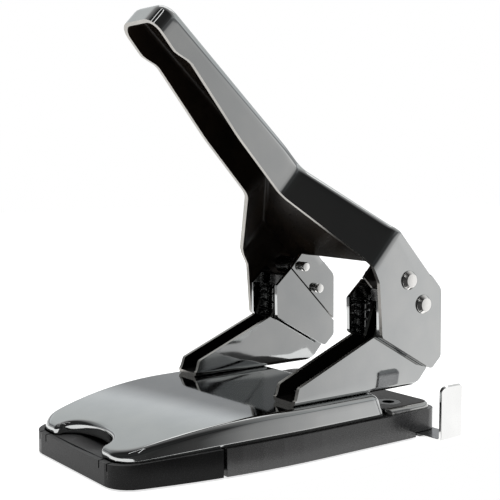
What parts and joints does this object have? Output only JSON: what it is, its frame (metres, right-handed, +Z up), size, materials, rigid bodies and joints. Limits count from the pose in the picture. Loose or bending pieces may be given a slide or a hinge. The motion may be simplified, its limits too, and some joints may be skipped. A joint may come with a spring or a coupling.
{
  "type": "heavy duty hole punch",
  "caption": "Heavy duty desk hole punch: flared folded-steel lever on wedge brackets, spring-returned punches, pressed deck, pull-out chip tray and sliding paper guide.",
  "frame": {"origin": "on the table under the middle of the base", "axes": "+X to the side of the paper guide, +Y to the rear where the paper goes in, +Z up"},
  "size_m": [0.1264, 0.1764, 0.2032],
  "materials": {
    "gunmetal": "gloss metallic",
    "black_plastic": "satin",
    "dark_plate": "gloss",
    "chrome": "polished",
    "tool_steel": "ground",
    "black_rubber": "matt"
  },
  "bodies": {
    "base": {"base_housing": "black_plastic", "floor_plate": "dark_plate", "rubber_mat": "black_rubber", "die_plate": "dark_plate", "plate_rivets": "tool_steel", "die_bush_right": "tool_steel", "die_bush_left": "tool_steel", "deck_cover": "gunmetal", "deck_spacers": "tool_steel", "bracket_screws": "tool_steel", "bracket_right": "gunmetal", "bracket_left": "gunmetal", "punch_guide_right": "tool_steel", "punch_guide_left": "tool_steel", "return_spring_right": "tool_steel", "return_spring_left": "tool_steel"},
    "tray": {"chip_tray": "black_plastic"},
    "guide": {"paper_guide": "chrome"},
    "lever": {"lever_frame": "gunmetal", "leg_stiffener_right": "gunmetal", "leg_stiffener_left": "gunmetal", "pivot_pin_right": "chrome", "pivot_pin_left": "chrome", "pivot_spacers": "tool_steel", "drive_pin_right": "chrome", "drive_pin_left": "chrome", "push_sleeve_right": "tool_steel", "push_sleeve_left": "tool_steel"},
    "right_punch": {"punch_right": "tool_steel", "punch_cap_right": "tool_steel"},
    "left_punch": {"punch_left": "tool_steel", "punch_cap_left": "tool_steel"}
  },
  "joints": [
    {"name": "lever_press", "type": "hinge", "parent": "base", "child": "lever", "pos_m": [0, 0.0764, 0.0655], "axis": [1, 0, 0], "range_deg": [0, 48], "stiffness_Nm_per_rad": 0.9, "springref_deg": -34.38},
    {"name": "right_punch_slide", "type": "slide", "parent": "base", "child": "right_punch", "axis": [0, 0, -1], "range_m": [0, 0.0117], "deforming": ["return_spring_right"]},
    {"name": "left_punch_slide", "type": "slide", "parent": "base", "child": "left_punch", "axis": [0, 0, -1], "range_m": [0, 0.0117], "deforming": ["return_spring_left"]},
    {"name": "tray_slide", "type": "slide", "parent": "base", "child": "tray", "axis": [0, -1, 0], "range_m": [0, 0.12]},
    {"name": "guide_slide", "type": "slide", "parent": "base", "child": "guide", "axis": [1, 0, 0], "range_m": [-0.013, 0.046]}
  ],
  "couplings": [
    {"joint": "right_punch_slide", "follows": "lever_press", "m_per_rad": 0.013775},
    {"joint": "left_punch_slide", "follows": "lever_press", "m_per_rad": 0.013775}
  ]
}
